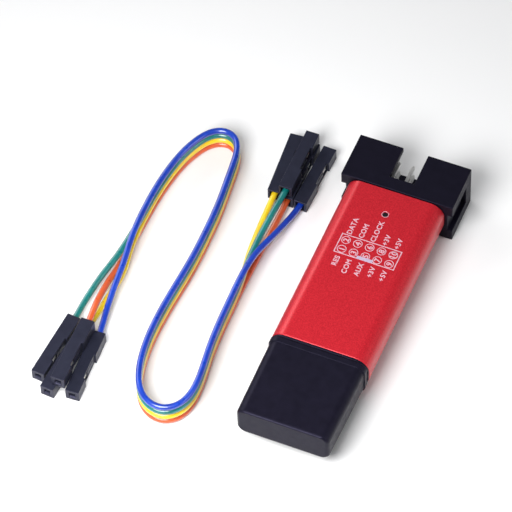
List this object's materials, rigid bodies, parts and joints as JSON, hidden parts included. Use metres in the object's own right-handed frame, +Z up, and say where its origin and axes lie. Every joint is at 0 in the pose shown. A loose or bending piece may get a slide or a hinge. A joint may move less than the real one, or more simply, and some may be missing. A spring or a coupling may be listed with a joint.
{
  "type": "usb microcontroller programmer",
  "caption": "Stick-shaped debug programmer: red aluminium sleeve, shrouded box header at one end, capped USB plug at the other, with a ribbon jumper lead.",
  "frame": {"origin": "bottom centre of the programmer without its jumper lead: level with the underside of the header, midway between the header's rim and the cap's closed end, and midway across its width", "axes": "+Y from the capped USB plug towards the box header, +Z up out of the printed side, X across the width. The jumper lead lies beside it on the -X side"},
  "size_m": [0.0547, 0.0646, 0.0089],
  "materials": {
    "red_anodised_aluminium": "satin red anodised, finely bead blasted",
    "black_header_plastic": "matte moulded glass-filled plastic",
    "black_cap_plastic": "satin moulded plastic",
    "black_socket_plastic": "satin moulded plastic",
    "tinned_metal": "bright tin plate",
    "plug_steel": "nickel-plated pressed steel",
    "gold_plating": "thin gold plate",
    "white_plastic": "moulded plastic, and the white print on the sleeve",
    "green_circuit_board": "solder resist over glass-epoxy board",
    "chip_resin": "moulded epoxy",
    "capacitor_ceramic": "fired ceramic",
    "led_lens": "clear resin",
    "blue_insulation": "smooth flexible PVC",
    "green_insulation": "smooth flexible PVC",
    "yellow_insulation": "smooth flexible PVC",
    "orange_insulation": "smooth flexible PVC"
  },
  "bodies": {
    "programmer": {"header_housing": "black_header_plastic", "header_pin_1": "tinned_metal", "header_pin_2": "tinned_metal", "header_pin_3": "tinned_metal", "header_pin_4": "tinned_metal", "header_pin_5": "tinned_metal", "header_pin_6": "tinned_metal", "header_pin_7": "tinned_metal", "header_pin_8": "tinned_metal", "header_pin_9": "tinned_metal", "header_pin_10": "tinned_metal", "aluminium_sleeve": "red_anodised_aluminium", "end_bezel": "black_cap_plastic", "circuit_board": "green_circuit_board", "microcontroller": "chip_resin", "voltage_regulator": "chip_resin", "crystal": "plug_steel", "status_led": "led_lens", "led_resistor": "chip_resin", "data_resistor": "chip_resin", "clock_resistor": "chip_resin", "supply_capacitor": "capacitor_ceramic", "input_capacitor": "capacitor_ceramic", "usb_plug_shell": "plug_steel", "usb_tongue": "white_plastic", "usb_contact_1": "gold_plating", "usb_contact_2": "gold_plating", "usb_contact_3": "gold_plating", "usb_contact_4": "gold_plating"},
    "cap": {"usb_cap": "black_cap_plastic"},
    "jumper_lead": {"wire_blue": "blue_insulation", "wire_green": "green_insulation", "wire_yellow": "yellow_insulation", "wire_orange": "orange_insulation", "socket_blue_a": "black_socket_plastic", "socket_blue_b": "black_socket_plastic", "socket_green_a": "black_socket_plastic", "socket_green_b": "black_socket_plastic", "socket_yellow_a": "black_socket_plastic", "socket_yellow_b": "black_socket_plastic", "socket_orange_a": "black_socket_plastic", "socket_orange_b": "black_socket_plastic", "crimp_blue_a": "tinned_metal", "crimp_blue_b": "tinned_metal", "crimp_green_a": "tinned_metal", "crimp_green_b": "tinned_metal", "crimp_yellow_a": "tinned_metal", "crimp_yellow_b": "tinned_metal", "crimp_orange_a": "tinned_metal", "crimp_orange_b": "tinned_metal"}
  },
  "joints": [
    {"name": "cap_slide", "type": "slide", "parent": "programmer", "child": "cap", "axis": [0, -1, 0], "range_m": [0, 0.02]},
    {"name": "lead_lift", "type": "slide", "parent": "programmer", "child": "jumper_lead", "axis": [0, 0, 1], "range_m": [0, 0.05]}
  ]
}
